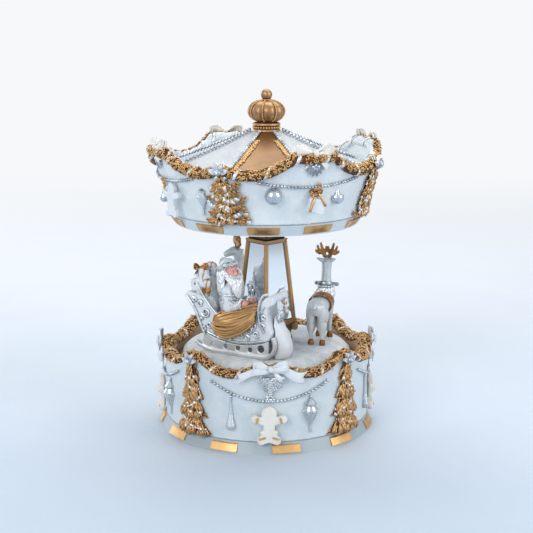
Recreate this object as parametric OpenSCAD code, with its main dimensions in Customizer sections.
/* Christmas carousel music box: a wind-up base carries a turning snow table with a sleigh,
   two reindeer, a mirrored column and a canopy with a crown. Millimetres, +Z up, the origin
   is the centre of the underside of the foot, and -Y is the front. */

/* [Base] */
// Radius of the foot at the table
foot_r = 60; // [58.5:0.5:64]
// Height of the sloped foot band
foot_h = 6; // [5:0.5:8]
// How far the foot stands out past the base wall
foot_splay = 3; // [2:0.5:4]
// Thickness of the base wall
wall_t = 5; // [4:0.5:6]
// Height of the base wall at the bottom of each scallop
base_low = 40; // [39:0.5:43]
// Rise of the base wall from a scallop to its cusps
base_rise = 6.5; // [4:0.5:8]
// Radius of each base scallop
base_scallop_r = 25; // [24:0.5:30]
// Height of the top of the deck under the turntable
deck_z = 36.5; // [35:0.5:38]
// Thickness of the deck
deck_t = 3; // [2:0.5:4]
// Depth of the recess for the winding key
recess_h = 10; // [9:0.5:12]
// Thickness of the bottom cover
cover_t = 3; // [2:0.5:4]
// Turn of the base ornament about the axis, in degrees
base_turn = 2; // [-10:1:10]

/* [Turntable] */
// Gap round the snow turntable, inside the base wall
table_clear = 4.3; // [3.5:0.1:6]
// Height of the level snow above the deck
snow_rise = 9.5; // [8:0.5:12]
// Gap between the deck and the turning parts above it
table_gap = 0.7; // [0.4:0.1:1.5]

/* [Column] */
// Corner radius of the column frame at its foot
col_foot_r = 15.4; // [13:0.1:17]
// Corner radius of the column frame under the cornice
col_top_r = 10.1; // [8:0.1:12]
// Height of the column foot moulding above the snow
col_foot_h = 13; // [10:0.5:16]
// Height of the mirror panes
pane_h = 44; // [38:0.5:47]
// Thickness of a mirror pane
pane_t = 0.9; // [0.6:0.1:1.4]
// Radius of a corner post
post_r = 1.25; // [0.9:0.05:1.4]
// Turn of the column corners about the axis, in degrees
col_turn = -1; // [-15:1:15]

/* [Canopy] */
// Height of the column above the snow, up to the canopy
canopy_rise = 68.7; // [64:0.5:74]
// Radius of the canopy at its underside
canopy_r = 50.1; // [48:0.1:53]
// Radius of the canopy at its rim
canopy_rim_r = 62.6; // [60:0.1:65]
// Height of the lower band of the canopy
band_h = 5.8; // [4:0.2:8]
// Thickness of the canopy wall
canopy_t = 4; // [3:0.5:5]
// Height of the canopy wall at the bottom of each scallop
canopy_low = 30; // [28:0.5:33]
// Rise of the canopy wall from a scallop to the bows
canopy_peak = 9; // [7:0.5:11]
// Radius of each canopy scallop
canopy_scallop_r = 36; // [30:0.5:42]
// Turn of the canopy trees about the axis, in degrees
canopy_turn = -22; // [-30:1:-14]

/* [Roof and crown] */
// Rise of the roof from its eaves to the crown
roof_rise = 18; // [15:0.5:20]
// Thickness of the roof panels
roof_t = 2.4; // [1.6:0.2:3]
// Radius of a bead on the roof ribs
rib_bead_r = 0.95; // [0.7:0.05:1.2]
// Widest radius of the crown
crown_r = 10.3; // [9:0.1:12]
// Radius of the crown's collar
collar_r = 7.6; // [7:0.1:8.4]
// Radius of the ball on the crown
ball_r = 3; // [2:0.1:3.6]

/* [Ornament] */
// Height of the leaf garland on both rims
garland_h = 4.6; // [3.5:0.1:5.5]
// Overhang of the garland past the outer face of the wall
garland_over = 1.6; // [1:0.1:2.4]
// Half width of a base tree at its lowest branches
tree_w = 14.5; // [11:0.5:16]
// Half width of a canopy tree at its lowest branches
canopy_tree_w = 10.5; // [8:0.5:12]
// Depth of the trees in front of the wall
tree_d = 4.6; // [3:0.2:6]
// Radius of a bead in the swags
swag_bead_r = 0.85; // [0.6:0.05:1.1]
// Raised height of the gold bars
bar_t = 0.9; // [0.6:0.1:1.4]
// Number of gold bars round the foot and round the canopy
bars = 11; // [8:1:12]
// Half width of a bow on the base
base_bow_w = 5.2; // [4:0.2:6.5]
// Half width of a bow on the canopy
canopy_bow_w = 7.2; // [5:0.2:8]

/* [Sleigh] */
// Radius of the line that the sleigh's runners are centred on
sleigh_r = 26.9; // [26:0.1:28]
// Outer width of the sleigh's body
sleigh_w = 17.6; // [16:0.2:19]
// Turn of the sleigh about the axis, in degrees
sleigh_turn = -28; // [-34:1:-22]
// Height of the sleigh's side at its lowest point, above the snow
sleigh_side_h = 17.5; // [16:0.5:19]
// Height of the lowest line of the sleigh's body above the snow
hull_lift = 6.6; // [5.5:0.2:8]
// Thickness of the sleigh's panels
panel_t = 1.8; // [1.4:0.1:2.4]
// Thickness of a runner
runner_t = 1.9; // [1.4:0.1:2.4]

/* [Figures] */
// Height of the seated figures above the sleigh's seat
sitter_h = 40; // [36:0.5:43]
// Height of a reindeer's back above the snow
deer_back_h = 27.5; // [25:0.5:30]
// Half length between a reindeer's front and hind hooves
deer_step = 10; // [9:0.5:11.5]
// Half width between a reindeer's left and right hooves
deer_track = 3.2; // [2.8:0.1:3.8]
// Spread of a pair of antlers to each side
antler_w = 6; // [5:0.5:8]

/* [Movement] */
// Thickness of the movement's bedplate
bed_t = 2; // [1.6:0.2:2.6]
// Radius of the spring barrel
barrel_r = 11.2; // [10:0.2:11.6]
// Radius of the pinned cylinder
drum_r = 6.4; // [6:0.1:6.6]
// Length of the pinned cylinder
drum_l = 19; // [17:0.5:20]
// Number of notes in the comb
notes = 18; // [12:1:18]
// Radius swept by the governor's fly
fly_r = 5.4; // [4:0.2:6]
// Radius of the winding arbor and of the output spindle
arbor_r = 2; // [1.6:0.1:2.4]
// Half span of the winding key's wings
key_w = 12; // [10:0.5:14]

/* [Fits] */
// Gap between a piece and the face that it is seated on
seat = 0.05; // [0.03:0.01:0.1]
// Gap between a garland and the rim that it lies on
lay = 0.25; // [0.2:0.05:0.4]
// Radial clearance of an arbor in its bore
fit = 0.05; // [0.03:0.01:0.08]
// Clearance between pieces that pass each other
pass = 0.4; // [0.3:0.05:0.6]

/* [Hidden] */
$fn = 48;

quarters = [0 : 90 : 270];
eighths = [0 : 45 : 315];

// Gear train: the barrel's crown turns the cylinder at 44:8, and its wheel turns the governor at 36:8
crown_teeth = 44;
pinion_teeth = 8;
crown_mod = 0.6;
wheel_teeth = 36;
fly_teeth = 8;
wheel_mod = 0.4;

// Radii of the base wall, of the well inside it and of the turntable
wall_r = foot_r - foot_splay;
well_r = wall_r - wall_t;
table_r = well_r - table_clear;

// Levels of the main pieces, from the foot to the top of the ball
cover_top = recess_h + cover_t;
bed_top = cover_top + bed_t;
snow_z = deck_z + snow_rise;
table_bottom = deck_z + table_gap;
col_foot_top = snow_z + col_foot_h;
pane_top = col_foot_top + pane_h;
canopy_z = snow_z + canopy_rise;
band_top = canopy_z + band_h;
rim_low = canopy_z + canopy_low;
rim_top = rim_low + canopy_peak;
eaves_z = rim_low + 1.5;
roof_top = eaves_z + roof_rise;
collar_h = 4;
crown_bottom = roof_top + collar_h;

// ---- Helpers: places, outlines and lofts ----

function polar(r, a) = [r * sin(a), -r * cos(a)];
function mix(a, b, t) = a + (b - a) * t;
function mean(ps) = [for (k = [0 : len(ps[0]) - 1]) ([for (p = ps) p[k]] * [for (p = ps) 1]) / len(ps)];
function arc(c, r, a0, a1, n) = [for (i = [0 : n]) c + r * [cos(mix(a0, a1, i / n)), sin(mix(a0, a1, i / n))]];
function sag(x, r) = r - sqrt(max(0, r * r - x * x));
// Drop-shaped outline: a round end of radius r at the origin and a point at distance l along +Y
function drop_outline(r, l) = concat(arc([0, 0], r, 180 + asin(r / l), 360 - asin(r / l), 10), [[0, l]]);
// Leaf outline from the origin to [0, l], with half width w
function leaf_outline(w, l) = concat([for (i = [0 : 7]) [w * sin(i * 180 / 7), l * i / 7]],
    [for (i = [6 : -1 : 1]) [-w * sin(i * 180 / 7), l * i / 7]]);

// Closed surface through rings with equal point counts, each anticlockwise seen against the rings' order.
// Each end is a fan round its middle, or the faces that cap lists for a ring that is hollowed
module loft(rings, loop = false, cap = []) {
    n = len(rings[0]);
    m = len(rings);
    steps = loop ? m : m - 1;
    sides = [for (i = [0 : steps - 1], j = [0 : n - 1])
        let (a = i * n + j, b = i * n + (j + 1) % n, i2 = (i + 1) % m, c = i2 * n + (j + 1) % n, d = i2 * n + j)
        each [[a, c, b], [a, d, c]]];
    first_cap = [for (j = [0 : n - 1]) [j, (j + 1) % n, m * n]];
    last_cap = [for (j = [0 : n - 1]) [(m - 1) * n + (j + 1) % n, (m - 1) * n + j, m * n + 1]];
    points = [for (r = rings) each r];
    if (loop) polyhedron(points, sides);
    else if (len(cap) > 0) polyhedron(points, concat(sides, cap,
        [for (f = cap) [for (k = [len(f) - 1 : -1 : 0]) (m - 1) * n + f[k]]]));
    else polyhedron(concat(points, [mean(rings[0]), mean(rings[m - 1])]), concat(sides, first_cap, last_cap));
}

// Ring of n points round a centre, across the direction dir in the XZ plane, wide y and high h
function ring_xz(c, dir, y, h, n) = [for (j = [0 : n - 1]) let (a = j * 360 / n)
    [c[0] - h * sin(a) * dir[1], c[1] + y * cos(a), c[2] + h * sin(a) * dir[0]]];
// Tube along stations [x, z, half width, half height], bending in the XZ plane
module tube_xz(stations, n) {
    k = len(stations);
    loft([for (i = [0 : k - 1])
        let (s = stations[i], p = stations[max(0, i - 1)], q = stations[min(k - 1, i + 1)],
            d = [q[0] - p[0], q[1] - p[1]], u = d / norm(d))
        [for (pt = ring_xz([s[0], 0, s[1]], u, s[2], s[3], n)) pt]]);
}

// Children drawn with X across, Y up and Z out of a wall point
module on_wall(a, r, z) {
    rotate([0, 0, a]) translate([0, -r, z]) rotate([90, 0, 0]) children();
}
// Children standing at a wall point, with -Y outward
module at_wall(a, r, z) {
    rotate([0, 0, a]) translate([0, -r, z]) children();
}
// Revolved solid from an outline of [radius, height] points
module turned(outline) {
    rotate_extrude() polygon(outline);
}
// Straight round bar between two points
module bar(p, q, r) {
    d = q - p;
    translate(p) rotate([0, acos(d[2] / norm(d)), atan2(d[1], d[0])]) cylinder(r = r, h = norm(d));
}

// ---- Walls of the base and the canopy ----

function base_face(z) = z < foot_h ? mix(foot_r, wall_r, z / foot_h) : wall_r;
function canopy_u(z) = (z - canopy_z - band_h) / (rim_top - canopy_z - band_h);
function canopy_face(z) = z < band_top
    ? mix(canopy_r, canopy_r + 3, (z - canopy_z) / band_h)
    : canopy_r + 3.4 + (canopy_rim_r - canopy_r - 3.4) * (0.65 * canopy_u(z) + 0.35 * pow(canopy_u(z), 2));
function canopy_outline(grow) = concat([[canopy_r + grow, canopy_z - (grow > 0 ? 1 : 0)]],
    [for (i = [0 : 16]) let (z = mix(canopy_z, rim_top, i / 16)) [canopy_face(z) + grow, z]],
    grow > 0 ? [[canopy_rim_r + grow, rim_top + 10]] : []);

// Height of each scalloped rim at radius r and azimuth a; t is the azimuth from the nearest tree
function off_tree(a, turn) = abs(((a - turn + 45 + 720) % 90) - 45);
base_tree_turn = base_turn + 45;
function base_rim_z(r, a) =
    min(base_low + base_rise, base_low + sag(r * sin(off_tree(a, base_tree_turn) - 22.5), base_scallop_r));
canopy_dip = 12.5;
function canopy_x(r, a) = r * sin(off_tree(a, canopy_turn) - canopy_dip);
function canopy_rim_z(r, a) = abs(canopy_x(r, a)) >= canopy_scallop_r
    ? rim_top : min(rim_top, rim_low + sag(canopy_x(r, a), canopy_scallop_r));

module base_solid(grow) {
    rotate_extrude($fn = 240) polygon([[0, -1], [foot_r + grow, -1], [foot_r + grow, 0], [wall_r + grow, foot_h],
        [wall_r + grow, base_low + 20], [0, base_low + 20]]);
}
module canopy_solid(grow) {
    rotate_extrude($fn = 240) polygon(concat([[0, canopy_z - 1]], canopy_outline(grow), [[0, rim_top + 10]]));
}

ledge = 2.4;
module base_wall() {
    color("aliceblue") difference() {
        turned([[foot_r, 0], [wall_r, foot_h],
            [wall_r, base_low + base_rise], [well_r, base_low + base_rise], [well_r, deck_z - deck_t],
            [well_r - ledge, deck_z - deck_t], [well_r - ledge, deck_z - deck_t - 3],
            [well_r, deck_z - deck_t - 5], [well_r, cover_top + 5], [well_r - ledge, cover_top + 3],
            [well_r - ledge, cover_top], [well_r, cover_top], [well_r, 0]]);
        for (a = eighths)
            on_wall(base_turn + 22.5 + a, foot_r + 5, base_low + base_scallop_r)
                translate([0, 0, -20]) cylinder(r = base_scallop_r, h = 30);
    }
}
module base_deck() {
    color("white") difference() {
        translate([0, 0, deck_z - deck_t + seat]) cylinder(r = well_r - seat, h = deck_t - seat);
        translate([0, 0, deck_z - deck_t - 1]) cylinder(r = arbor_r + fit, h = deck_t + 2);
    }
}

// ---- Underside ----

screw_r = well_r - 14;
module bottom_cover() {
    color("tan") difference() {
        translate([0, 0, recess_h]) cylinder(r = well_r - seat, h = cover_t - seat);
        translate([0, 0, recess_h - 1]) cylinder(r = arbor_r + fit, h = cover_t + 2);
        for (a = quarters)
            rotate([0, 0, a + 45]) translate([screw_r, 0, recess_h - 1])
                cylinder(r = 1.5 + fit, h = cover_t + 2);
    }
}
module cover_screws() {
    color("silver") for (a = quarters) rotate([0, 0, a + 45]) translate([screw_r, 0, 0]) {
        difference() {
            translate([0, 0, recess_h - 1.2]) cylinder(r = 2.8, h = 1.2 - seat);
            translate([0, 0, recess_h - 1.8]) for (t = [0, 90]) rotate([0, 0, t])
                cube([3.4, 0.7, 2], center = true);
        }
        translate([0, 0, recess_h - seat]) cylinder(r = 1.5, h = cover_t + 1.4);
        translate([0, 0, cover_top + seat]) cylinder(r = 2.8, h = 1.6, $fn = 6);
    }
}
// Strip of width w along a flat path
function side(path, i, w) =
    let (p = path[max(0, i - 1)], q = path[min(len(path) - 1, i + 1)], d = (q - p) / norm(q - p))
    path[i] + w / 2 * [-d[1], d[0]];
function strip(path, w) = concat([for (i = [0 : len(path) - 1]) side(path, i, w)],
    [for (i = [len(path) - 1 : -1 : 0]) side(path, i, -w)]);

// ---- Music movement ----

axis_z = bed_top + drum_r + 1.5;
crown_pitch_r = crown_teeth * crown_mod / 2;
pinion_pitch_r = pinion_teeth * crown_mod / 2;
crown_plane = axis_z - pinion_pitch_r;
barrel_z = bed_top + 1;
barrel_top = crown_plane + 9;
tooth_face = 2.4;
post_t = 1.4;
post_in = crown_pitch_r + tooth_face / 2 + pass;
drum_x = post_in + post_t + pass;
wheel_x = drum_x + drum_l + 0.5;
wheel_t = 1.2;
post_out = wheel_x + wheel_t + pass;
wheel_pitch_r = wheel_teeth * wheel_mod / 2;
fly_pitch_r = fly_teeth * wheel_mod / 2;
fly_y = wheel_pitch_r + fly_pitch_r + 0.06;
fly_x = post_out + post_t + pass;
fly_l = 5.6;
post_end = fly_x + fly_l + pass;
pin_h = 0.55;
pivot_r = 0.9;

// Flat gear of n teeth of module m; narrow straight-sided teeth, with one tooth on +Y
module gear_outline(n, m, thick) {
    pitch = n * m / 2;
    polygon([for (k = [0 : n - 1], p = [[-1, -1.2, 0.62], [-1, 0.85, 0.3], [1, 0.85, 0.3], [1, -1.2, 0.62]])
        let (r = pitch + p[1] * m, a = k * 360 / n + p[0] * (p[2] * thick * 180 / n))
        [-r * sin(-a), r * cos(-a)]]);
}

module movement_bed() {
    color("silver") difference() {
        union() {
            translate([0, 0, cover_top]) linear_extrude(bed_t) polygon([[-16, -15], [12, -15], [15, -27],
                [38, -27], [40, -15], [post_end + post_t + 0.5, -6], [post_end + post_t + 0.5, 13],
                [36, 17], [-16, 15]]);
            // Riser that carries the comb
            translate([drum_x - 1, -26, bed_top]) cube([drum_l + 2, 9, axis_z - 0.6 - seat - bed_top]);
        }
        translate([0, 0, cover_top - 1]) cylinder(r = arbor_r + fit, h = bed_t + 2);
        for (a = quarters) rotate([0, 0, a + 45]) translate([screw_r, 0, cover_top - 1]) cylinder(r = 3.2, h = bed_t + 2);
        for (x = [0.25, 0.75]) translate([drum_x + drum_l * x, -21.5, axis_z - 5]) cylinder(r = 1 + fit, h = 6);
    }
}
// Steel comb: one tooth for each note, its tips just clear of the cylinder's pins
module comb() {
    note_pitch = (drum_l - 1.4) / notes;
    tip_y = -(drum_r + pin_h + 0.3);
    color("gray") difference() {
        translate([drum_x, -26, axis_z - 0.6]) linear_extrude(1.2) union() {
            square([drum_l, 9.5]);
            for (k = [0 : notes - 1]) translate([0.7 + k * note_pitch + 0.1, 9])
                polygon([[0, 0], [note_pitch - 0.2, 0], [note_pitch - 0.35, 26 + tip_y - 9],
                    [0.15, 26 + tip_y - 9]]);
        }
        for (x = [0.25, 0.75]) translate([drum_x + drum_l * x, -21.5, axis_z - 2]) cylinder(r = 1 + fit, h = 4);
    }
}
module comb_screws() {
    color("silver") for (x = [0.25, 0.75]) translate([drum_x + drum_l * x, -21.5, axis_z]) {
        translate([0, 0, -4]) cylinder(r = 1, h = 4.7);
        difference() {
            translate([0, 0, 0.6 + seat]) cylinder(r = 2.1, h = 1.2);
            translate([0, 0, 2]) cube([5, 0.6, 1.2], center = true);
        }
    }
}
// Upright plates that hold the ends of the cylinder's and the governor's arbors
module arbor_posts() {
    color("goldenrod") {
        difference() {
            translate([post_in, -4, bed_top + seat]) cube([post_t, 8, axis_z + 3 - bed_top]);
            translate([post_in - 1, 0, axis_z]) rotate([0, 90, 0]) cylinder(r = pivot_r + fit, h = post_t + 2);
        }
        difference() {
            translate([post_out, -4, bed_top + seat]) cube([post_t, fly_y + 7, axis_z + 3 - bed_top]);
            for (y = [0, fly_y]) translate([post_out - 1, y, axis_z]) rotate([0, 90, 0])
                cylinder(r = pivot_r + fit, h = post_t + 2);
        }
        difference() {
            translate([post_end, fly_y - 3, bed_top + seat]) cube([post_t, 6, axis_z + 3 - bed_top]);
            translate([post_end - 1, fly_y, axis_z]) rotate([0, 90, 0]) cylinder(r = pivot_r + fit, h = post_t + 2);
        }
    }
}
key_z = 2;
module winding_key() {
    color("goldenrod") {
        translate([0, 0, key_z + 4]) cylinder(r = arbor_r, h = barrel_z + 5 - key_z - 4);
        translate([0, 0, key_z + 3]) cylinder(r = arbor_r + 1, h = recess_h - key_z - 3 - pass);
        difference() {
            rotate([90, 0, 0]) linear_extrude(1.6, center = true) union() {
                for (m = [-1, 1]) translate([m * (key_w - 3), key_z + 3]) circle(r = 3);
                translate([-key_w + 3, key_z + 0.9]) square([2 * key_w - 6, 4.2]);
            }
            for (m = [-1, 1]) translate([m * (key_w - 3), 0, key_z + 3]) rotate([90, 0, 0])
                cylinder(r = 1.4, h = 4, center = true);
        }
    }
}
module pinned_cylinder() {
    color("gold") rotate([0, 90, 0]) union() {
        translate([-axis_z, 0, 0]) {
            translate([0, 0, post_in - pass - tooth_face]) rotate([0, 0, 90]) linear_extrude(tooth_face)
                gear_outline(pinion_teeth, crown_mod, 0.8);
            translate([0, 0, post_in - pass - 0.1]) cylinder(r = pivot_r, h = drum_x - post_in + pass + 0.2);
            translate([0, 0, drum_x]) cylinder(r = drum_r, h = drum_l);
            translate([0, 0, drum_x + drum_l - 0.1]) cylinder(r = 3, h = 0.7);
            translate([0, 0, wheel_x]) linear_extrude(wheel_t) gear_outline(wheel_teeth, wheel_mod, 0.8);
            translate([0, 0, wheel_x + wheel_t - 0.1]) cylinder(r = pivot_r, h = pass + post_t + 0.4);
            // Pins on the tune's beats, stepped round the cylinder note by note
            for (k = [0 : notes - 1], j = [0 : 3])
                rotate([0, 0, (k * 7 % notes) * 360 / notes + j * 90 + 15])
                    translate([0, drum_r - 0.3, drum_x + 0.7 + (k + 0.5) * (drum_l - 1.4) / notes])
                        rotate([-90, 0, 0]) cylinder(r = 0.22, h = pin_h + 0.3, $fn = 13);
        }
    }
}
// Air brake: a pinion on an arbor with two flat wings
module governor() {
    color("lightgray") translate([0, fly_y, axis_z]) rotate([0, 90, 0]) {
        translate([0, 0, wheel_x - 0.1]) rotate([0, 0, 180 / fly_teeth]) linear_extrude(wheel_t + 0.2)
            gear_outline(fly_teeth, wheel_mod, 0.8);
        translate([0, 0, wheel_x + wheel_t]) cylinder(r = pivot_r, h = post_end + post_t + 0.4 - wheel_x - wheel_t);
        translate([0, 0, fly_x + fly_l / 2]) cube([0.9, 2 * fly_r, fly_l], center = true);
    }
}
module spring_barrel() {
    color("gold") difference() {
        union() {
            translate([0, 0, barrel_z]) cylinder(r = barrel_r, h = barrel_top - barrel_z);
            translate([0, 0, crown_plane - 2.4]) cylinder(r = crown_pitch_r + tooth_face / 2, h = 1.6);
            for (k = [0 : crown_teeth - 1]) rotate([0, 0, (k + 0.5) * 360 / crown_teeth])
                translate([crown_pitch_r - tooth_face / 2, 0, crown_plane]) rotate([90, 0, 90])
                    linear_extrude(tooth_face) polygon([[-0.36, -0.9], [0.36, -0.9], [0.16, 0.5], [-0.16, 0.5]]);
        }
        translate([0, 0, barrel_z - 1]) cylinder(r = arbor_r + fit, h = 6.5);
        translate([0, 0, barrel_top - 3]) cylinder(r = arbor_r + seat, h = 4);
    }
}
module spindle() {
    color("silver") {
        translate([0, 0, barrel_top - 3 + seat]) cylinder(r = arbor_r, h = snow_z - 3 - barrel_top + 3);
        translate([0, 0, barrel_top + seat]) cylinder(r = arbor_r + 1.2, h = 1.2);
    }
}

// ---- Turntable and column ----

module turntable() {
    color("snow") difference() {
        turned([[0, table_bottom], [table_r - 1.2, table_bottom], [table_r - 0.2, table_bottom + 1],
            [table_r, table_bottom + 2.4], [table_r - 0.7, snow_z - 4.4], [table_r - 2.9, snow_z - 2.4],
            [table_r - 6, snow_z - 0.9], [table_r - 9.7, snow_z - 0.1], [table_r - 12, snow_z], [0, snow_z]]);
        translate([0, 0, table_bottom - 1]) cylinder(r = arbor_r + seat, h = snow_z - 2.9 - table_bottom + 1);
        // Hollow underside between the hub and the edge
        difference() {
            translate([0, 0, table_bottom - 1]) cylinder(r = table_r - 5, h = 3.5);
            translate([0, 0, table_bottom - 2]) cylinder(r = 7, h = 8);
        }
    }
}

// Four-sided frustum with corner radii r0 at z0 and r1 at z1
module frustum(r0, r1, z0, z1) {
    a = r0 / sqrt(2);
    b = r1 / sqrt(2);
    rotate([0, 0, col_turn]) rotate([0, 0, 45]) intersection() {
        for_side = max(a, b) + 1;
        rotate([90, 0, 0]) linear_extrude(2 * for_side, center = true)
            polygon([[-a, z0], [a, z0], [b, z1], [-b, z1]]);
        rotate([90, 0, 90]) linear_extrude(2 * for_side, center = true)
            polygon([[-a, z0], [a, z0], [b, z1], [-b, z1]]);
    }
}
core_in = (pane_t + seat) * sqrt(2) + 0.3;
module column_core() {
    color("dimgray") {
        frustum(col_foot_r - core_in, col_top_r - core_in, col_foot_top + seat, pane_top);
    }
}
module mirror_panes() {
    slope = atan((col_foot_r - col_top_r) / sqrt(2) / pane_h);
    face = col_foot_r / sqrt(2);
    top = col_top_r / sqrt(2);
    inset = post_r * 1.15;
    color("lightblue") for (a = quarters)
        rotate([0, 0, col_turn + 45 + a]) translate([0, -face, col_foot_top + seat]) rotate([90 - slope, 0, 0])
            translate([0, 0, -pane_t]) linear_extrude(pane_t) polygon([[-face + inset, 0.3], [face - inset, 0.3],
                [top - inset, pane_h / cos(slope) - 0.6], [-top + inset, pane_h / cos(slope) - 0.6]]);
}
module column_posts() {
    color("peru") for (a = quarters) {
        p = polar(col_foot_r, col_turn + a);
        q = polar(col_top_r, col_turn + a);
        difference() {
            bar([p[0], p[1], col_foot_top - 1], [q[0], q[1], pane_top + 1], post_r);
            translate([0, 0, col_foot_top - 9 + seat]) cube([60, 60, 18], center = true);
            translate([0, 0, pane_top + 9 - seat]) cube([60, 60, 18], center = true);
        }
    }
}
foot_grow = 1.8;
module column_foot() {
    color("sienna") {
        frustum(col_foot_r + foot_grow - 0.8, col_foot_r + foot_grow, col_foot_top - 2.6, col_foot_top);
        frustum(col_foot_r - 3.4, col_foot_r + foot_grow - 1.2, snow_z + seat, col_foot_top - 2.5);
        // Scroll feet at the corners
        for (a = quarters) rotate([0, 0, col_turn + a]) {
            translate([0, -col_foot_r - 0.4, col_foot_top - 4.6]) rotate([0, 90, 0])
                cylinder(r = 2, h = 3.6, center = true);
            translate([0, -col_foot_r + 2.4, snow_z + 1.7 + seat]) rotate([0, 90, 0])
                cylinder(r = 1.7, h = 3, center = true);
        }
    }
}
module column_cornice() {
    h = canopy_z - pane_top;
    color("sienna") {
        frustum(col_top_r + 1.2, col_top_r + 1.7, pane_top, pane_top + 1.8);
        frustum(col_top_r - 0.4, col_top_r + 1.4, pane_top + 1.7, canopy_z - 5);
        frustum(col_top_r + 2.2, col_top_r + 2.8, canopy_z - 5.1, canopy_z - seat);
        for (a = eighths) rotate([0, 0, col_turn + a]) translate([0, -col_top_r * (a % 90 == 0 ? 1 : 0.77), pane_top + h * 0.42])
            sphere(r = 1.9);
    }
}

// ---- Canopy, roof and crown ----

ceiling_t = 3.2;
roof_gap = 0.3;
roof_seat_z = eaves_z - roof_t - seat;
roof_edge_r = canopy_face(roof_seat_z) - canopy_t - roof_gap;
function canopy_in(z) = canopy_face(z) - canopy_t;
module canopy_shell() {
    step_z = roof_seat_z;
    color("aliceblue") difference() {
        turned(concat(canopy_outline(0), [[canopy_in(rim_top), rim_top]],
            [for (i = [0 : 3]) let (z = mix(rim_top - 1, step_z, i / 3)) [canopy_in(z), z]],
            [[canopy_in(step_z) - 2.4, step_z], [canopy_in(step_z) - 2.4, step_z - 2.4],
            [canopy_in(step_z - 5), step_z - 5], [canopy_in(canopy_z + 8), canopy_z + 8],
            [canopy_in(canopy_z + ceiling_t) - 1.5, canopy_z + ceiling_t],
            [0, canopy_z + ceiling_t], [0, canopy_z]]));
        for (a = quarters, m = [-1, 1])
            on_wall(canopy_turn + m * canopy_dip + a, canopy_rim_r + 5, rim_low + canopy_scallop_r)
                translate([0, 0, -20]) cylinder(r = canopy_scallop_r, h = 30);
    }
}
function roof_z(r) = r <= collar_r + 0.6 ? roof_top
    : eaves_z + roof_rise * pow(max(0, roof_edge_r - r) / (roof_edge_r - collar_r - 0.6), 1.1);
roof_steps = [for (i = [0 : 8]) mix(collar_r + 0.6, roof_edge_r, i / 8)];
module roof_panel(k) {
    rotate([0, 0, canopy_turn + 45 * k - 90 + 0.05]) rotate_extrude(angle = 44.9)
        polygon(concat([[3, roof_top]], [for (r = roof_steps) [r, roof_z(r)]],
            [for (i = [8 : -1 : 0]) [roof_steps[i], roof_z(roof_steps[i]) - roof_t]], [[3, roof_top - roof_t]]));
}
module roof_white_panels() {
    color("white") for (k = [1, 2, 3, 5, 6, 7]) roof_panel(k);
}
module roof_gold_panels() {
    color("peru") for (k = [0, 4]) roof_panel(k);
}
module roof_ribs() {
    slope = atan(roof_rise / (roof_edge_r - collar_r));
    first = collar_r + 2.4;
    count = floor((roof_edge_r - 1.4 - first) / cos(slope) / (2.15 * rib_bead_r));
    color("silver") for (a = eighths) rotate([0, 0, canopy_turn + a]) for (i = [0 : count]) {
        r = mix(first, roof_edge_r - 1.4, i / count);
        translate([0, -r, roof_z(r) + (rib_bead_r + 2 * seat) / cos(slope) + 0.12]) sphere(r = rib_bead_r);
    }
}
bulb_c = [crown_r - 6.9, crown_bottom + 6.8];
crown_top = crown_bottom + 13.2;
module crown() {
    color("peru") {
        turned(concat([[0, roof_top + seat], [collar_r, roof_top + seat], [collar_r, roof_top + 1],
            [collar_r - 0.8, roof_top + 1.3], [collar_r - 0.8, crown_bottom - 1], [collar_r, crown_bottom - 0.7],
            [collar_r, crown_bottom]], arc(bulb_c, 6.2, -62, 74, 10), [[2.4, crown_top], [0, crown_top]]));
        translate([0, 0, crown_top + ball_r - 0.5]) sphere(r = ball_r);
    }
}
module crown_trim() {
    color("silver") {
        for (a = eighths) rotate([0, 0, a]) for (t = [-52 : 16 : 60])
            translate([0, -bulb_c[0] - 7 * cos(t), bulb_c[1] + 7 * sin(t)]) sphere(r = 0.75);
        for (a = [0 : 15 : 345]) rotate([0, 0, a])
            translate([0, -collar_r - 0.05, (roof_top + crown_bottom) / 2]) sphere(r = 0.78);
    }
}

// ---- Ornament on the walls ----

// Leaf garland that caps a scalloped rim between radii r0 and r1
// Azimuths of the garland's sections: the rim's corners at its outer and inner radius are among them.
// Each list covers one repeat of the rim, from a cusp or a tree
function flat_from(rise, r, at) = asin(sqrt(r * r - pow(r - rise, 2)) / at);
base_k = [flat_from(base_rise, base_scallop_r, wall_r), flat_from(base_rise, base_scallop_r, well_r)];
base_half = concat([for (i = [0 : 5]) base_k[0] * i / 5], [base_k[1], 22.5]);
base_sections = [for (q = eighths) each concat([for (i = [0 : 7]) base_turn + 22.5 + q + base_half[i]],
    [for (i = [6 : -1 : 1]) base_turn + 22.5 + q + 45 - base_half[i]])];
canopy_k = [for (r = [canopy_rim_r, canopy_rim_r - canopy_t])
    canopy_dip + flat_from(canopy_peak, canopy_scallop_r, r)];
canopy_half = concat([for (i = [0 : 10]) canopy_k[0] * i / 10], [canopy_k[1], 40, 45]);
canopy_sections = [for (q = quarters) each concat([for (i = [0 : 13]) canopy_turn + q + canopy_half[i]],
    [for (i = [12 : -1 : 1]) canopy_turn + q + 90 - canopy_half[i]])];
function garland_ring(a, leaf, r0, r1) =
    let (w = (r1 - r0) / 2, c = (r0 + r1) / 2, h = garland_h * leaf,
        section = [[-w, lay], [w, lay], [w + 0.7 * leaf, h * 0.35], [w * 0.9, h * 0.72], [w * 0.35, h],
            [-w * 0.5, h], [-w - 0.4 * leaf, h * 0.5]])
    [for (p = section) [c + p[0], p[1]]];
module base_garland() {
    color("peru") loft([for (i = [0 : len(base_sections) - 1])
        let (a = base_sections[i], leaf = i % 2 == 0 ? 1 : 0.8)
        [for (p = garland_ring(a, leaf, well_r - 0.3, wall_r + garland_over))
            let (q = polar(p[0], a)) [q[0], q[1], base_rim_z(p[0], a) + p[1]]]], loop = true);
}
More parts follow.
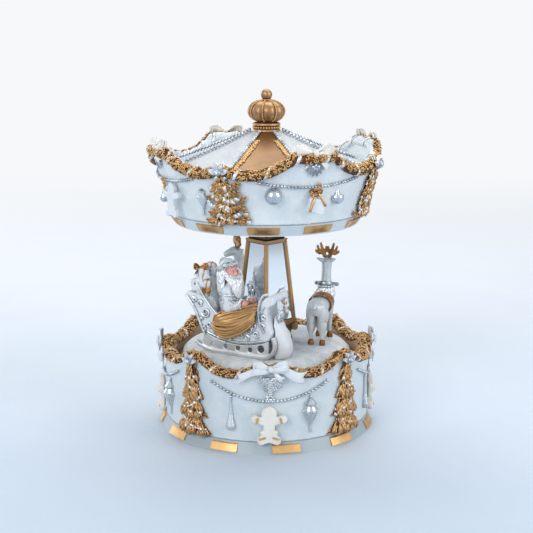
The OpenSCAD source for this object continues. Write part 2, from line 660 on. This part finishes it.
module canopy_garland() {
    color("peru") loft([for (i = [0 : len(canopy_sections) - 1])
        let (a = canopy_sections[i], leaf = i % 2 == 0 ? 1 : 0.8,
            wall = canopy_face(canopy_rim_z(canopy_rim_r, a)))
        [for (p = garland_ring(a, leaf, wall - canopy_t - 0.2, wall + garland_over))
            let (q = polar(p[0], a)) [q[0], q[1], canopy_rim_z(p[0], a) + p[1]]]], loop = true);
}

// Raised bars with round ends on the sloped foot and on the canopy's band
module raised_bar(a, span, r0, r1, h, lift) {
    rotate([0, 0, a - span / 2 - 90]) rotate_extrude(angle = span)
        polygon([[r0 + seat, lift], [r0 + bar_t, lift + 0.5], [r1 + bar_t, lift + h - 0.5], [r1 + seat, lift + h]]);
}
module base_gold_bars() {
    color("peru") for (k = [0 : bars - 1])
        raised_bar(10.3 + k * 360 / bars, 14.5, base_face(0.8), base_face(foot_h - 0.8), foot_h - 1.6, 0.8);
}
module canopy_gold_bars() {
    color("peru") for (k = [0 : bars - 1])
        raised_bar(k * 360 / bars - 1.8, 18, canopy_face(canopy_z + 0.7), canopy_face(band_top - 0.7),
            band_h - 1.4, canopy_z + 0.7);
}

// Fir tree in relief: tiers of drooping branches that follow the wall.
// shape is [azimuth, bottom, top, half width, canopy wall or not]
function tree_wall(z, on_canopy) = seat + 0.1 + (on_canopy ? canopy_face(z) : base_face(z));
function tree_ring(a, z, w, d, droop, on_canopy) =
    let (n = 8, front = [for (j = [0 : n])
            let (t = 180 - j * 180 / n, fold = j % 2 == 0 ? 1 : 0.82)
            [w * cos(t) * (j == 0 || j == n ? 1 : fold), d * sin(t) * fold, z - droop * (j % 2 == 0 ? 1 : 0)]],
        back = [for (j = [n - 1 : -1 : 1]) let (t = 180 - j * 180 / n) [w * cos(t), 0, z]])
    [for (p = concat(front, back))
        let (r = tree_wall(p[2], on_canopy) + p[1], q = polar(r, a + p[0] / r * 180 / PI)) [q[0], q[1], p[2]]];
module tree(a, z0, z1, w, on_canopy) {
    tiers = 4;
    tier_h = (z1 - z0) / tiers;
    loft(concat(
        [for (k = [0 : tiers - 1]) let (s = w * (1 - 0.2 * k), z = z0 + k * tier_h)
            each [tree_ring(a, z + 1.6, s, tree_d * (1 - 0.14 * k), 1.4, on_canopy),
                tree_ring(a, z + tier_h, s * 0.42, tree_d * 0.5, 0, on_canopy)]],
        [tree_ring(a, z1 + 1.2, 0.8, 0.8, 0, on_canopy)]));
}
module base_trees() {
    color("peru") for (a = quarters)
        tree(base_tree_turn + a, foot_h + 0.4, base_low + base_rise - 1.6, tree_w, false);
}
module canopy_trees() {
    color("peru") for (a = quarters)
        tree(canopy_turn + a, band_top + 0.4, rim_low + 1.5, canopy_tree_w, true);
}
// Silver cluster on a tree's top: a berry between leaves
module gem(s) {
    for (t = [-70, -25, 25, 70]) rotate([0, 0, -t]) linear_extrude(1.6 * s)
        polygon(leaf_outline(1.5 * s, 6 * s));
    translate([0, 0.6, 1.4 * s]) sphere(r = 1.9 * s);
}
module base_tree_gems() {
    color("silver") for (a = quarters)
        on_wall(base_tree_turn + a, wall_r + garland_over + 1, base_low + base_rise - 0.5) gem(0.9);
}
module canopy_tree_gems() {
    color("silver") for (a = quarters)
        on_wall(canopy_turn + a, canopy_face(rim_low + 4) + garland_over + 1.1, rim_low + 3.5) gem(0.95);
}
// Ribbon bow of half width w with two loops, two tails and a knot
module bow(w) {
    for (m = [-1, 1]) {
        rotate([0, m * 10, 0]) rotate([0, 0, m * -78]) linear_extrude(w * 0.42) difference() {
            polygon(leaf_outline(w * 0.42, w));
            translate([0, w * 0.12]) polygon(leaf_outline(w * 0.2, w * 0.7));
        }
        rotate([0, 0, 180 + m * 32]) linear_extrude(w * 0.2)
            polygon([[-w * 0.1, 0], [w * 0.1, 0], [w * 0.22, w * 0.95], [0, w * 0.78], [-w * 0.22, w * 0.95]]);
    }
    translate([0, 0, w * 0.2]) sphere(r = w * 0.24);
}
module base_bows() {
    color("white") for (a = quarters)
        on_wall(base_turn + a, wall_r + garland_over + 1, base_low + base_rise - 1.2) bow(base_bow_w);
}
module canopy_bows() {
    color("white") for (a = quarters)
        on_wall(canopy_turn + 45 + a, canopy_rim_r + garland_over + 1.6, rim_top + 4) bow(canopy_bow_w);
}

// Bead chains that hang under each bow; drop is measured down from the rim
base_swag_z = base_low - 11;
base_swag_lift = 8.5;
base_swag_span = 32;
canopy_swag_z = rim_low - 3.8;
canopy_swag_lift = 3;
canopy_swag_span = 28;
module base_swags() {
    count = 2 * floor(base_swag_span * PI / 180 * wall_r / (2.2 * swag_bead_r));
    color("silver") for (a = quarters) rotate([0, 0, a]) for (i = [0 : count]) {
        t = 2 * i / count - 1;
        at_wall(base_turn + base_swag_span * t, wall_r + swag_bead_r + seat,
            base_swag_z + base_swag_lift * t * t) sphere(r = swag_bead_r);
    }
}
module canopy_swags() {
    count = 2 * floor(canopy_swag_span * PI / 180 * canopy_rim_r / (2.2 * swag_bead_r));
    color("silver") for (a = quarters) rotate([0, 0, a]) for (i = [0 : count]) {
        t = 2 * i / count - 1;
        z = canopy_swag_z + canopy_swag_lift * t * t;
        at_wall(canopy_turn + 45 + canopy_swag_span * t, canopy_face(z) + swag_bead_r * 1.06 + seat, z)
            sphere(r = swag_bead_r);
    }
}
// Fir-cone rosette under each base bow
module base_rosettes() {
    color("silver") difference() {
        for (a = quarters) at_wall(base_turn + a, wall_r + 0.8, base_swag_z + 2.4) {
            turned([[0, 0], [1.6, 0.8], [2.9, 3], [3, 5], [2.2, 7], [0, 8.2]]);
            for (t = [-58, 58]) translate([0, 0.2, 7.6]) rotate([90, 0, 0]) rotate([0, 0, t])
                linear_extrude(1.2) polygon(leaf_outline(1.3, 5.4));
        }
        base_solid(seat);
    }
}
// Hanging drops: two smooth long ones and two ribbed finials for each quarter
module teardrop(l, r) {
    turned(concat([[0, 0]], arc([0, r], r, -80, 20, 6), [[r * 0.5, l * 0.45], [0.5, l * 0.8], [0.5, l - 1.4],
        [0, l - 1.4]]));
    translate([0, -0.2, l - 0.9]) sphere(r = 0.9);
}
module finial_drop(l, r) {
    turned([[0, 0], [0.7, l * 0.06], [0.5, l * 0.2], [r * 0.45, l * 0.32], [r * 0.9, l * 0.5], [r, l * 0.62],
        [r * 0.7, l * 0.72], [r * 0.85, l * 0.78], [r * 0.4, l * 0.88], [0.6, l * 0.92], [0, l * 0.92]]);
    for (a = eighths) rotate([0, 0, a]) translate([0, -r * 0.93, l * 0.6]) sphere(r = r * 0.2);
    translate([0, -0.3, l * 0.96]) sphere(r = 0.8);
}
module base_drops() {
    color("silver") difference() {
        for (a = quarters) {
            at_wall(base_turn + a - 21, wall_r + 0.5, base_swag_z - 17) teardrop(19.5, 2.7);
            at_wall(base_turn + a + 21.7, wall_r + 0.5, base_swag_z - 19.3) finial_drop(21.4, 4);
        }
        base_solid(seat);
    }
}
module gingerbread() {
    linear_extrude(2.6) union() {
        translate([0, 17]) circle(r = 3.9);
        translate([-2.9, 5.5]) square([5.8, 9]);
        for (m = [-1, 1]) {
            translate([m * 2, 12.6]) rotate([0, 0, m * 14]) translate([m * 2.6, 0]) square([6.4, 3.8], center = true);
            translate([m * 7.4, 14]) circle(r = 2.1);
            translate([m * 2.2, 6.4]) rotate([0, 0, m * -14]) translate([0, -2]) square([4.3, 7], center = true);
            translate([m * 3.9, 2.3]) circle(r = 2.3);
        }
    }
}
man_z = base_swag_z - 23.2;
module gingerbread_men() {
    color("white") for (a = quarters) on_wall(base_turn + a - 0.7, wall_r + 1, man_z) gingerbread();
}
module gingerbread_cuffs() {
    color("peru") for (a = quarters) on_wall(base_turn + a - 0.7, wall_r + 3.6 + seat, man_z)
        for (m = [-1, 1]) {
            translate([m * 6.2, 13.6]) rotate([0, 0, m * 14]) translate([-0.5, -1.7]) linear_extrude(0.5) square([1, 3.4]);
            translate([m * 3.6, 3.8]) rotate([0, 0, m * -14]) translate([-1.9, -0.5]) linear_extrude(0.5) square([3.8, 1]);
        }
}
// Silver leaf sprays under the canopy's bows
module canopy_leaves() {
    color("silver") for (a = quarters) on_wall(canopy_turn + 45 + a, canopy_face(rim_top - 2.5) + 0.4, rim_top - 2.5)
        for (t = [-125, -155, 180, 155, 125]) rotate([0, 0, t]) linear_extrude(1.3) polygon(leaf_outline(1.5, 7));
}
// Baubles, an oval, a ribbed drop and a teardrop on the canopy wall, placed from the nearest bow
module canopy_drops() {
    bow_a = canopy_turn + 45;
    z = rim_low - 8;
    color("silver") difference() {
        for (a = [0, 180]) {
            at_wall(bow_a + a - 19.6, canopy_face(z) + 0.8, z) {
                sphere(r = 4.5);
                translate([0, 0, 4.2]) cylinder(r = 1.2, h = 1);
            }
            at_wall(bow_a + a + 16.3, canopy_face(z), z - 6) teardrop(10.6, 3.6);
            at_wall(bow_a + a + 122, canopy_face(z - 4), z - 12) finial_drop(17, 3.6);
            at_wall(bow_a + a + 72, canopy_face(z - 4), z - 11) teardrop(15, 2.6);
        }
        canopy_solid(seat);
    }
}
module canopy_gifts() {
    z = rim_low - 13.5;
    color("goldenrod") for (a = [0, 180]) {
        on_wall(canopy_turn + 47 + a, canopy_face(z + 6) + 0.9, z) {
            rotate([0, 0, -14]) translate([0, 0, 1.4]) cube([9, 7.4, 2.8], center = true);
            translate([0, 6.6, 0]) bow(3.6);
        }
        on_wall(canopy_turn + 147 + a, canopy_face(z + 8) + 1, z - 8.8) scale(0.86) gingerbread();
    }
}

// ---- Sleigh ----

module in_sleigh() {
    rotate([0, 0, sleigh_turn]) translate([0, -sleigh_r, snow_z]) children();
}
// Side profile [forward, up] drawn as a plate of width w centred across the sleigh
module plate(w, y = 0) {
    translate([0, y + w / 2, 0]) rotate([90, 0, 0]) linear_extrude(w) children();
}
function side_top(s) = sleigh_side_h + 0.036 * s * s;
function hull_low(s) = hull_lift + 0.011 * pow(s - 1, 2);
hull_back = -19.5;
hull_front = 20.2;
side_outline = concat(
    [for (s = [hull_back : 3.97 : hull_front]) [s, hull_low(s)]],
    [[22, 15], [20.6, 19], [19.4, 24], [20.2, 28.4]],
    arc([22.9, 32.4], 2.7, -100, 120, 7),
    [[18.4, 33.9], [15.2, 31.6], [12.8, 27.6]],
    [for (s = [12 : -3.1 : -19]) [s, side_top(s)]],
    arc([-29.4, 30.4], 2.2, 70, 210, 5),
    [[-27.9, 24.6], [-24, 20.2], [-21.4, 14]]);
pocket_outline = concat([for (s = [hull_back + 3 : 4.2 : hull_front - 5]) [s, hull_low(s) + panel_t]],
    [[17.2, 20], [16.6, 60], [-40, 60], [-25.2, 26], [-21.4, 20.8], [-18.6, 14]]);
module sleigh_body() {
    color("white") in_sleigh() difference() {
        plate(sleigh_w) polygon(side_outline);
        plate(sleigh_w - 2 * panel_t) polygon(pocket_outline);
    }
}
runner_path = concat([[-25, 5.4], [-22.6, 3.4], [-19, 1.9], [-15, runner_t / 2 + seat]],
    arc([16.4, 7.4 + runner_t / 2 + seat], 7.4, -90, 36, 9));
runner_y = sleigh_w / 2 - 0.6;
module sleigh_runners() {
    color("silver") in_sleigh() for (m = [-1, 1]) {
        plate(2.4, m * runner_y) polygon(strip(runner_path, runner_t));
        // Open scroll panel between the runner and the hull
        plate(1.2, m * runner_y) difference() {
            polygon(concat([for (s = [hull_back : 3.97 : hull_front]) [s, hull_low(s) - 0.1]],
                [[hull_front, runner_t], [-15, runner_t], [-21, 3.4]]));
            for (s = [-14, -6.2, 1.4, 8.8]) translate([s, 4.4]) circle(r = 1.35);
            translate([15.4, 5.6]) circle(r = 2);
        }
    }
}
// White rounded front of the sleigh, from the curl down to the snow
dash_rings = [[0.2, 6, 27], [3, 6.7, 29.6], [7, 6.8, 29.8], [11, 6.7, 28.4], [15, 6, 26.4], [19, 4.6, 24.4], [23, 2.8, 22.8]];
module sleigh_dash() {
    color("white") in_sleigh() loft([for (q = dash_rings)
        let (back = q[0] < 16 ? hull_front + 2.1 : 21.2)
        concat([for (j = [0 : 8]) let (t = -90 + j * 22.5) [back + (q[2] - back) * cos(t), q[1] * sin(t), q[0]]],
            [for (y = [0.5, 0, -0.5]) [back, y * q[1], q[0]]])]);
}
// Silver edging, the leaf spray and the bow on the front of the sleigh
module sleigh_trim() {
    color("silver") in_sleigh() {
        for (m = [-1, 1]) {
            translate([0, m * (sleigh_w / 2 + 0.5 + seat), 0]) {
                plate(1) polygon(strip([for (s = [-17.4 : 4.3 : 19]) [s, hull_low(s) + 1.5]], 1.4));
                plate(1) polygon(strip([[-30, 29.4], [-26, 24.8], [-22.6, 19.8], [-20.4, 14], [-18.6, 10.6]], 1.4));
                plate(1) polygon(strip([[18.6, 31.8], [15.6, 29.2], [14.6, 25.4], [15, 20.4], [17.6, 15]], 1.4));
                plate(0.9) polygon(strip(arc([22.9, 32.4], 2, -60, 270, 12), 0.9));
                plate(0.9) polygon(strip(arc([16.6, 14.4], 2.4, 60, 330, 9), 0.9));
                plate(0.9) polygon(strip(arc([-17.2, 20], 2.6, -120, 150, 9), 0.9));
                plate(0.9) polygon(strip(arc([-16.4, 14.8], 1.7, -60, 230, 8), 0.8));
            }
        }
        translate([24.9, 0, 27.4]) rotate([90, 0, 90]) bow(5.6);
        for (t = [-60, -20, 20, 60]) translate([24.6, t / 40, 23.2]) rotate([90, 0, 90]) rotate([0, 0, 180 + t])
            linear_extrude(1.4) polygon(leaf_outline(1.4, 4.8));
    }
}
// Folded blanket over the outer side: an inner flap, the top edge and a hanging fall
fold_n = 9;
function blanket_ring(i) =
    let (t = i / fold_n, s = mix(-13.2, 11.6, t), ridge = i % 2 == 0 ? 0.7 : 0, top = side_top(s) + 0.36,
        out = -sleigh_w / 2 - 1.25, in = -sleigh_w / 2 + panel_t + 0.4,
        fall = min(top - 3, 8.4 + 0.07 * pow(s + 2, 2)))
    [[s, out, fall], [s, out, top], [s, in, top], [s, in, top - 2.4], [s, in + 1.2, top - 2.4],
        [s, in + 1.4, top + 1.4 + ridge], [s, out - 0.4, top + 1.7 + ridge], [s, out - 1.9 - ridge, top - 1.4],
        [s, out - 2.1 - ridge, mix(fall, top, 0.45)], [s, out - 1.5 - ridge, fall + 0.6]];
module blanket() {
    color("darkgoldenrod") in_sleigh() loft([for (i = [0 : fold_n]) blanket_ring(i)],
        cap = [[0, 1, 8, 9], [1, 7, 8], [1, 6, 7], [1, 2, 5, 6], [2, 3, 4, 5]]);
}

// ---- Seated figure and gifts ----

sit_s = -7.5;
seat_top = hull_low(sit_s - 5) + panel_t + seat;
head_r = 4.3;
head_z = seat_top + sitter_h - 7.6;
shoulder_z = head_z - 8;
function oval(c, a, b, z, n = 14) = [for (j = [0 : n - 1]) [c[0] + a * cos(j * 360 / n), c[1] + b * sin(j * 360 / n), z]];
coat_half = sleigh_w / 2 - panel_t - 0.3;
module santa_coat() {
    color("white") in_sleigh() difference() {
        union() {
            loft([oval([sit_s + 3.6, 0], 8, coat_half - 1, seat_top), oval([sit_s + 3.4, 0], 8.6, coat_half, seat_top + 3),
                oval([sit_s + 1.6, 0], 7.8, coat_half - 2, seat_top + 7.4), oval([sit_s, 0], 6, coat_half - 2, seat_top + 12),
                oval([sit_s - 0.4, 0], 5.6, 6.4, mix(seat_top + 12, shoulder_z, 0.5)),
                oval([sit_s - 0.4, 0], 5, 6.8, shoulder_z - 1), oval([sit_s - 0.2, 0], 4, 5.4, shoulder_z + 2),
                oval([sit_s, 0], 2.8, 3.2, shoulder_z + 4)]);
            for (m = [-1, 1]) {
                translate([sit_s, m * 6, shoulder_z - 1]) sphere(r = 3);
                bar([sit_s, m * 6, shoulder_z - 1], [sit_s + 2, m * 6.6, shoulder_z - 9], 2.7);
                translate([sit_s + 2, m * 6.6, shoulder_z - 9]) sphere(r = 2.85);
                bar([sit_s + 2, m * 6.6, shoulder_z - 9], [sit_s + 9, m * 4.6, shoulder_z - 7.4], 2.4);
            }
        }
        translate([sit_s + 1, 0, head_z]) sphere(r = head_r + seat);
    }
}
module santa_head() {
    color("lightpink") in_sleigh() translate([sit_s + 1, 0, head_z]) {
        sphere(r = head_r);
        translate([head_r - 0.2, 0, -0.3]) sphere(r = 0.95);
    }
}
module santa_hands() {
    color("lightpink") in_sleigh() for (m = [-1, 1])
        translate([sit_s + 10.9, m * 4.05, shoulder_z - 6.9]) sphere(r = 1.8);
}
// Full beard below the face, clear of the head and the coat
module santa_beard() {
    c = sit_s + 1;
    color("white") in_sleigh() difference() {
        loft([oval([c + 4.4, 0], 1, 1.2, head_z - 12.6, 10), oval([c + 4.2, 0], 2, 3, head_z - 9.4, 10),
            oval([c + 3.4, 0], 3, 4.4, head_z - 5.6, 10), oval([c + 2, 0], 3.6, 4.9, head_z - 2.6, 10),
            oval([c + 1.6, 0], 3, 4.4, head_z - 1, 10)]);
        translate([c, 0, head_z]) sphere(r = head_r + seat);
        translate([sit_s - 0.2, 0, shoulder_z - 14]) cylinder(r1 = 5.9, r2 = 5.3, h = 14.2);
        translate([sit_s - 0.1, 0, shoulder_z + 0.1]) cylinder(r1 = 5.5, r2 = 2.9, h = 4.6);
    }
}
// Soft hat with a rolled silver brim, leaning back
module santa_hat() {
    c = sit_s + 1;
    color("white") in_sleigh() difference() {
        union() {
            loft([oval([c - 1, 0], 4.9, 4.9, head_z + 0.4, 12), oval([c - 0.9, 0], 5, 5, head_z + 2.6, 12),
                oval([c - 1.6, 0], 4.2, 4.4, head_z + 5, 12), oval([c - 3, 0], 3.2, 3.6, head_z + 6.8, 12),
                oval([c - 5.4, 0], 1.6, 2, head_z + 7.2, 12)]);
            translate([c - 0.6, 0, head_z + 1.9]) rotate([0, -14, 0]) rotate_extrude()
                translate([4.5, 0]) circle(r = 1.15);
            translate([c - 6.6, 0, head_z + 6.6]) sphere(r = 1.8);
        }
        translate([c, 0, head_z]) sphere(r = head_r + seat);
    }
}
heap_s = -21.5;
heap_z = side_top(heap_s) - 7;
// Space above the seat and behind the sitter that the gifts can fill
module heap_room() {
    difference() {
        union() {
            plate(sleigh_w - 2 * panel_t - 0.5) polygon([[-17.9, hull_low(-17.6) + panel_t + 0.6], [-10, 12], [-10, 60],
                [-40, 60], [-40, 33], [-26, 33], [-24.7, 26.8], [-20.8, 21], [-18.1, 14.4]]);
            translate([-40, -12, side_top(-19) + 2.6]) cube([30, 24, 30]);
        }
        translate([sit_s, 0, seat_top - 1]) cylinder(r = 8, h = 40);
        translate([sit_s + 1, 0, head_z + 2]) sphere(r = 9.4);
    }
}
module gift_heap() {
    color("ivory") in_sleigh() intersection() {
        union() {
            loft([oval([heap_s + 4.4, 0], 3.4, 5.4, heap_z - 14), oval([heap_s + 3, 0], 4.8, 6.6, heap_z - 3),
                oval([heap_s - 0.4, 0], 5.4, 6.8, heap_z + 4), oval([heap_s - 0.8, 0], 4.6, 6, heap_z + 10),
                oval([heap_s - 0.6, 0], 2.2, 3, heap_z + 13)]);
            translate([heap_s - 3.2, -4.6, heap_z + 9]) rotate([0, -24, 12]) cube([7, 6.4, 7.6], center = true);
            translate([heap_s - 2.4, 4.8, heap_z + 9.6]) rotate([10, -14, 0]) cube([7.6, 6, 9], center = true);
            translate([heap_s - 5.6, 1, heap_z + 9.4]) sphere(r = 3.3);
            translate([heap_s + 0.6, -3.8, heap_z + 12]) rotate([0, -20, 0]) cylinder(r = 2.7, h = 7);
            translate([heap_s - 3.6, -2.4, heap_z + 15]) sphere(r = 2.9);
            translate([heap_s - 0.4, 3.2, heap_z + 15.4]) rotate([20, 10, 30]) cube([6, 5.4, 6], center = true);
        }
        heap_room();
    }
}
module gift_ribbons() {
    color("peru") in_sleigh() {
        translate([heap_s - 4.4, -5.8, heap_z + 17]) rotate([90, 0, -30]) bow(3.6);
        translate([heap_s - 3.2, -8.8, heap_z + 9]) rotate([90, -24, 0]) bow(2.6);
        translate([heap_s - 1.9, -3.8, heap_z + 19]) rotate([0, -20, 0]) cylinder(r = 1.8, h = 1);
    }
}

// ---- Reindeer ----

// Place of each reindeer: [azimuth, distance from the axis, heading]
deer_places = [[89, 30.6, 74], [185, 32.6, 196]];
module each_deer() {
    for (d = deer_places) translate([d[1] * sin(d[0]), -d[1] * cos(d[0]), snow_z]) rotate([0, 0, d[2]]) children();
}
back = deer_back_h;
chest_x = deer_step - 0.6;
// Body line from the rump to the muzzle: [forward, up, half width, half height]
deer_line = [[-13.6, back - 4.4, 2, 2], [-12, back - 5.6, 4.8, 4.6], [-8, back - 6.2, 6.3, 6], [-2, back - 6, 5.6, 5.4],
    [4, back - 5.4, 5.7, 5.6], [chest_x, back - 3.4, 5.6, 6.2], [chest_x + 2.6, back + 2, 4, 5], [chest_x + 3.6, back + 7.4, 2.9, 3.6],
    [chest_x + 4, back + 12.6, 2.6, 3.1], [chest_x + 4.8, back + 16.8, 2.9, 3.3], [chest_x + 7.8, back + 18.6, 2.7, 2.7],
    [chest_x + 11.6, back + 17, 1.9, 1.9], [chest_x + 13.4, back + 16.2, 1.3, 1.4]];
hoof_h = 3;
module deer_leg(x, y, lean) {
    loft([oval([x, y * 1.02], 1.25, 1.2, hoof_h + seat, 8), oval([x + lean * 0.3, y], 1.3, 1.2, hoof_h + 3, 8),
        oval([x + lean, y * 0.98], 1.5, 1.35, hoof_h + 7, 8), oval([x + lean * 0.6, y * 0.95], 2.2, 1.9, hoof_h + 11.4, 8),
        oval([x, y * 0.9], 3, 2.4, back - 7, 8)]);
}
module reindeer_bodies() {
    color("gainsboro") each_deer() {
        tube_xz(deer_line, 12);
        for (m = [-1, 1]) {
            deer_leg(-deer_step, m * deer_track, -1.2);
            deer_leg(deer_step - 1.4, m * deer_track, 0.6);
            translate([chest_x + 3.8, m * 2.2, back + 18.6]) rotate([m * -66, -30, 0]) cylinder(r1 = 1.3, r2 = 0.4, h = 4);
        }
        translate([-13.6, 0, back - 3.4]) rotate([0, -120, 0]) cylinder(r1 = 1.5, r2 = 0.7, h = 4);
    }
}
module reindeer_hooves() {
    color("saddlebrown") each_deer() for (m = [-1, 1], x = [-deer_step, deer_step - 1.4])
        translate([x + 0.2, m * deer_track * 1.02, seat]) cylinder(r1 = 1.95, r2 = 1.4, h = hoof_h - seat);
}
module antler() {
    translate([0, 0, -0.8]) linear_extrude(1.6) polygon([[-1, -0.6], [1, -0.6], [1.6, 1.9], [3.6, 1.7], [antler_w, 4.4],
        [antler_w - 0.4, 6.2], [antler_w - 1.6, 4.6], [3.9, 4.4], [4, 8.2], [3, 8.9], [2.4, 5.2], [1.3, 5], [1.2, 9.6],
        [0.1, 10.2], [-0.4, 5.2], [-1.6, 4.2], [-2.4, 6.8], [-3.3, 6.2], [-2.6, 3], [-1.2, 1.8]]);
}
module reindeer_antlers() {
    color("peru") each_deer() for (m = [-1, 1])
        translate([chest_x + 5.4, m * 1.5, back + 20.9]) rotate([90, 0, 90]) mirror([m > 0 ? 0 : 1, 0, 0])
            rotate([0, 0, -14]) scale([0.8, 0.8, 1]) antler();
}
// Band of width w round the body line at station i, with thickness t
module body_band(x, z, hw, hh, w, t, tilt) {
    translate([x, 0, z]) rotate([0, tilt, 0]) loft([for (j = [0 : 15]) let (a = j * 22.5)
        [for (p = [[0, -w / 2], [t, -w / 2], [t, w / 2], [0, w / 2]])
            [p[1], -(hw + p[0]) * cos(a), (hh + p[0]) * sin(a)]]], loop = true);
}
module reindeer_harness() {
    color("peru") each_deer() {
        body_band(1, back - 5.6, 6.1, 6.1, 7, 0.9, -4);
        body_band(chest_x + 3.4, back + 5, 3.8, 4.6, 2.4, 1.1, -72);
        for (m = [-1, 1]) translate([chest_x + 5, m * 5.8, back + 4.4]) sphere(r = 1.5);
    }
}

// ---- Pieces by name ----

base_wall();
base_deck();
bottom_cover();
cover_screws();
base_gold_bars();
base_garland();
base_trees();
base_tree_gems();
base_bows();
base_swags();
base_rosettes();
base_drops();
gingerbread_men();
gingerbread_cuffs();
movement_bed();
comb();
comb_screws();
arbor_posts();
winding_key();
pinned_cylinder();
governor();
spring_barrel();
spindle();
turntable();
column_core();
mirror_panes();
column_posts();
column_foot();
column_cornice();
canopy_shell();
canopy_gold_bars();
canopy_garland();
canopy_trees();
canopy_tree_gems();
canopy_bows();
canopy_swags();
canopy_leaves();
canopy_drops();
canopy_gifts();
roof_white_panels();
roof_gold_panels();
roof_ribs();
crown();
crown_trim();
sleigh_body();
sleigh_runners();
sleigh_dash();
sleigh_trim();
blanket();
santa_coat();
santa_head();
santa_beard();
santa_hat();
santa_hands();
gift_heap();
gift_ribbons();
reindeer_bodies();
reindeer_hooves();
reindeer_antlers();
reindeer_harness();
